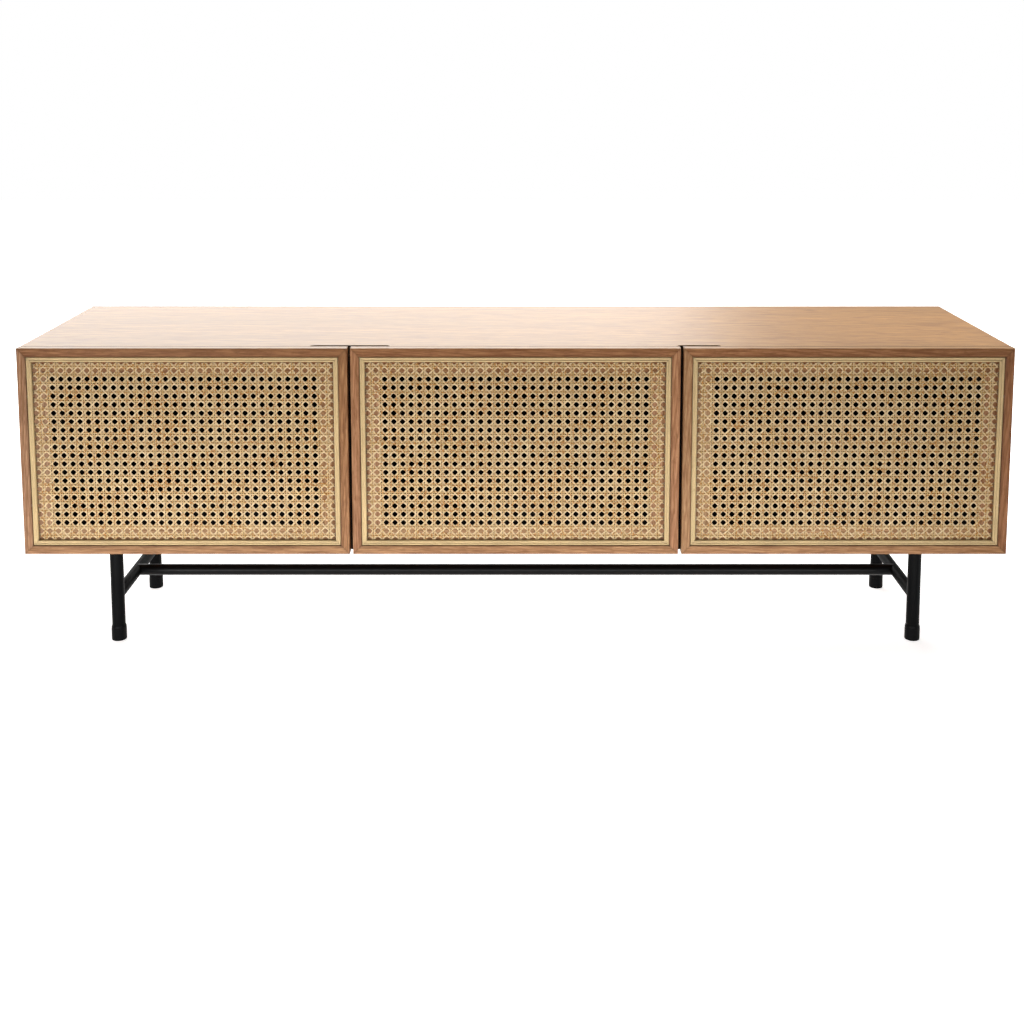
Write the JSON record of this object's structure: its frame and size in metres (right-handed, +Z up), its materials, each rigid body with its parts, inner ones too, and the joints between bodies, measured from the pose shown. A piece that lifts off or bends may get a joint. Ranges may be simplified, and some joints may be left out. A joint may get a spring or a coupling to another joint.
{
  "type": "tv console",
  "caption": "Long low cabinet on a tubular steel frame, with cane-fronted hinged doors, finger notches in the top and shelved bays behind.",
  "frame": {"origin": "on the floor under the middle of the cabinet, centre of the bounding box's bottom", "axes": "+X along the cabinet to the viewer's right, +Y towards the back, +Z up; the doors face -Y"},
  "size_m": [1.8, 0.45, 0.584],
  "materials": {
    "veneer": "satin",
    "inside_veneer": "satin",
    "cane": "natural woven cane",
    "cane_bead": "natural",
    "black_steel": "satin powder coat",
    "foot_black": "satin",
    "hinge_steel": "zinc plated",
    "catch_plastic": "matt"
  },
  "bodies": {
    "cabinet": {"top_panel": "veneer", "bottom_panel": "veneer", "left_side_panel": "veneer", "right_side_panel": "veneer", "left_partition": "inside_veneer", "right_partition": "inside_veneer", "left_back_panel": "inside_veneer", "middle_back_panel": "inside_veneer", "right_back_panel": "inside_veneer", "left_shelf": "inside_veneer", "middle_shelf": "inside_veneer", "right_shelf": "inside_veneer", "shelf_pins": "hinge_steel", "left_hinge_arms": "hinge_steel", "middle_hinge_arms": "hinge_steel", "right_hinge_arms": "hinge_steel", "leg_screws": "hinge_steel", "back_screws": "hinge_steel", "door_catches": "catch_plastic", "front_left_leg": "black_steel", "front_right_leg": "black_steel", "back_left_leg": "black_steel", "back_right_leg": "black_steel", "left_side_stretcher": "black_steel", "right_side_stretcher": "black_steel", "long_stretcher": "black_steel", "front_left_foot": "foot_black", "front_right_foot": "foot_black", "back_left_foot": "foot_black", "back_right_foot": "foot_black"},
    "left_door": {"left_hinge_stile": "veneer", "left_free_stile": "veneer", "left_top_rail": "veneer", "left_bottom_rail": "veneer", "left_bead": "cane_bead", "left_cane": "cane", "left_hinge_forks": "hinge_steel", "left_strike_plate": "hinge_steel"},
    "middle_door": {"middle_hinge_stile": "veneer", "middle_free_stile": "veneer", "middle_top_rail": "veneer", "middle_bottom_rail": "veneer", "middle_bead": "cane_bead", "middle_cane": "cane", "middle_hinge_forks": "hinge_steel", "middle_strike_plate": "hinge_steel"},
    "right_door": {"right_hinge_stile": "veneer", "right_free_stile": "veneer", "right_top_rail": "veneer", "right_bottom_rail": "veneer", "right_bead": "cane_bead", "right_cane": "cane", "right_hinge_forks": "hinge_steel", "right_strike_plate": "hinge_steel"}
  },
  "joints": [
    {"name": "left_door_hinge", "type": "hinge", "parent": "cabinet", "child": "left_door", "pos_m": [-0.896, -0.218, 0.392], "axis": [0, 0, -1], "range_deg": [0, 95]},
    {"name": "middle_door_hinge", "type": "hinge", "parent": "cabinet", "child": "middle_door", "pos_m": [0.294, -0.218, 0.392], "axis": [0, 0, 1], "range_deg": [0, 95]},
    {"name": "right_door_hinge", "type": "hinge", "parent": "cabinet", "child": "right_door", "pos_m": [0.896, -0.218, 0.392], "axis": [0, 0, 1], "range_deg": [0, 95]}
  ]
}
